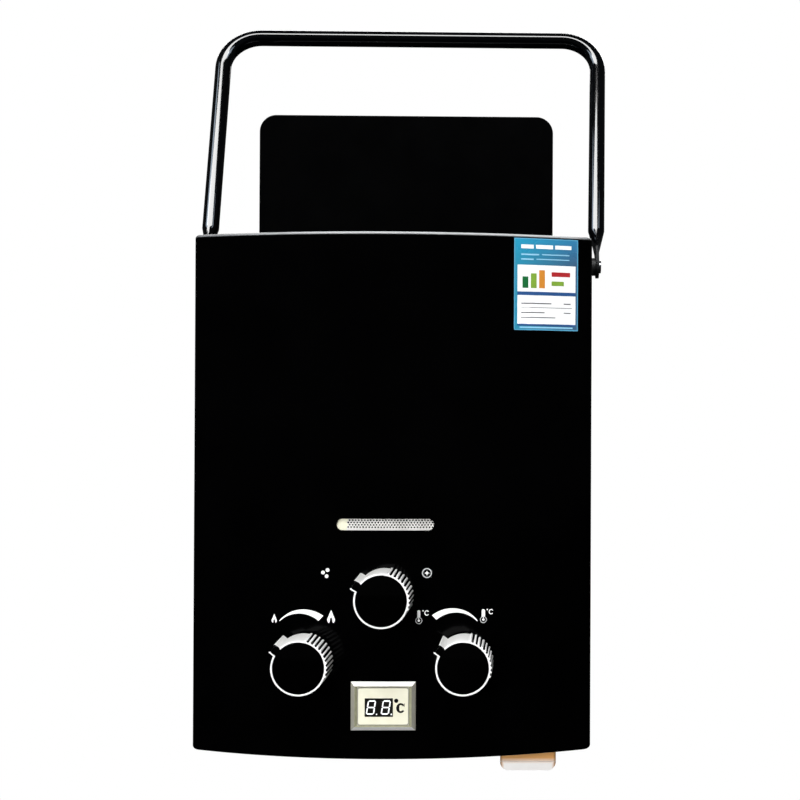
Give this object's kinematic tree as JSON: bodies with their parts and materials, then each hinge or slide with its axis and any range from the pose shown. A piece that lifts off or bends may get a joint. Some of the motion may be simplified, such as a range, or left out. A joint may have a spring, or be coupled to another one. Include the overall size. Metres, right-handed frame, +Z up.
{
  "type": "portable gas water heater",
  "caption": "Portable propane water heater with a bowed enamelled casing, carrying bail, heat shield, control knobs, digital temperature display and battery box.",
  "frame": {"origin": "middle of the four wall screw holes, on the outer back face of the rear casing", "axes": "+X to the user's right when facing the heater, +Y out of the back towards the wall, +Z up"},
  "size_m": [0.328, 0.209, 0.5866],
  "materials": {
    "black_enamel": "gloss",
    "shield_enamel": "satin",
    "bail_enamel": "high gloss",
    "plated_steel": "zinc plated",
    "galvanised": "galvanised",
    "copper": "drawn copper",
    "brass": "machined",
    "die_cast": "as cast",
    "stainless": "brushed",
    "silver_plastic": "silver plated",
    "black_plastic": "gloss",
    "spacer_plastic": "matt",
    "white_plastic": "moulded",
    "cream_plastic": "moulded",
    "digit_window": "gloss",
    "circuit_board": "solder mask",
    "grey_plastic": "moulded",
    "rubber": "matt",
    "ceramic": "glazed",
    "cell_jacket": "printed jacket",
    "label_paper": "gloss film"
  },
  "bodies": {
    "casing": {"rear_casing": "black_enamel", "front_cover": "black_enamel", "top_panel": "black_enamel", "bottom_panel": "black_enamel", "heat_shield": "shield_enamel", "shield_screws": "plated_steel", "cover_screws": "plated_steel", "bail_screws": "plated_steel", "bail_spacers": "spacer_plastic", "flue_hood": "galvanised", "exchanger_shell": "copper", "exchanger_fins": "copper", "exchanger_tubes": "copper", "cold_pipe": "copper", "hot_pipe": "copper", "burner_frame": "galvanised", "burner_bars": "stainless", "gas_manifold": "die_cast", "gas_injectors": "brass", "electrode_insulators": "ceramic", "ignition_electrodes": "stainless", "overheat_thermostat": "grey_plastic", "gas_valve_body": "die_cast", "gas_valve_spring": "stainless", "diaphragm": "rubber", "water_valve_cover": "brass", "water_valve_body": "brass", "season_valve_body": "die_cast", "spindle_gland_nuts": "brass", "microswitch": "grey_plastic", "solenoid_coil": "grey_plastic", "igniter_box": "grey_plastic", "gas_inlet": "brass", "water_inlet": "brass", "hot_outlet": "brass", "window_mesh": "stainless", "display_bezel": "silver_plastic", "display_panel": "cream_plastic", "display_glass": "digit_window", "display_board": "circuit_board", "battery_box": "white_plastic", "battery_door_pin": "plated_steel", "battery_cells": "cell_jacket", "battery_contacts": "plated_steel", "front_label": "label_paper"},
    "bail": {"bail_handle": "bail_enamel"},
    "season_control": {"season_knob": "silver_plastic", "season_knob_cap": "black_plastic", "season_spindle": "brass"},
    "fire_control": {"fire_knob": "silver_plastic", "fire_knob_cap": "black_plastic", "fire_spindle": "brass"},
    "water_control": {"water_knob": "silver_plastic", "water_knob_cap": "black_plastic", "water_spindle": "brass"},
    "valve_linkage": {"push_rod": "stainless", "gas_valve_disc": "rubber"},
    "switch_plunger": {"microswitch_plunger": "white_plastic"},
    "gas_shutoff_plunger": {"solenoid_plunger": "stainless"},
    "battery_lid": {"battery_door": "white_plastic"}
  },
  "joints": [
    {"name": "bail_swing", "type": "hinge", "parent": "casing", "child": "bail", "pos_m": [0, -0.035, 0.173], "axis": [1, 0, 0], "range_deg": [-144, 172]},
    {"name": "season_turn", "type": "hinge", "parent": "casing", "child": "season_control", "pos_m": [-0.0027, -0.15, -0.071], "axis": [0, 1, 0], "range_deg": [0, 112]},
    {"name": "fire_turn", "type": "hinge", "parent": "casing", "child": "fire_control", "pos_m": [-0.0592, -0.15, -0.1171], "axis": [0, 1, 0], "range_deg": [0, 105]},
    {"name": "water_turn", "type": "hinge", "parent": "casing", "child": "water_control", "pos_m": [0.0538, -0.15, -0.1171], "axis": [0, 1, 0], "range_deg": [0, 105]},
    {"name": "valve_linkage_slide", "type": "slide", "parent": "casing", "child": "valve_linkage", "axis": [-1, 0, 0], "range_m": [0, 0.004], "stiffness_N_per_m": 400, "springref_m": -0.004, "deforming": ["gas_valve_spring"]},
    {"name": "switch_plunger_slide", "type": "slide", "parent": "casing", "child": "switch_plunger", "axis": [-1, 0, 0], "range_m": [0, 0.004]},
    {"name": "gas_shutoff_slide", "type": "slide", "parent": "casing", "child": "gas_shutoff_plunger", "axis": [0, 1, 0], "range_m": [0, 0.0025], "stiffness_N_per_m": 400, "springref_m": -0.003},
    {"name": "battery_lid_hinge", "type": "hinge", "parent": "casing", "child": "battery_lid", "pos_m": [0.0995, -0.0163, -0.1982], "axis": [1, 0, 0], "range_deg": [0, 95]}
  ],
  "couplings": [
    {"joint": "switch_plunger_slide", "follows": "valve_linkage_slide", "ratio": 1}
  ]
}
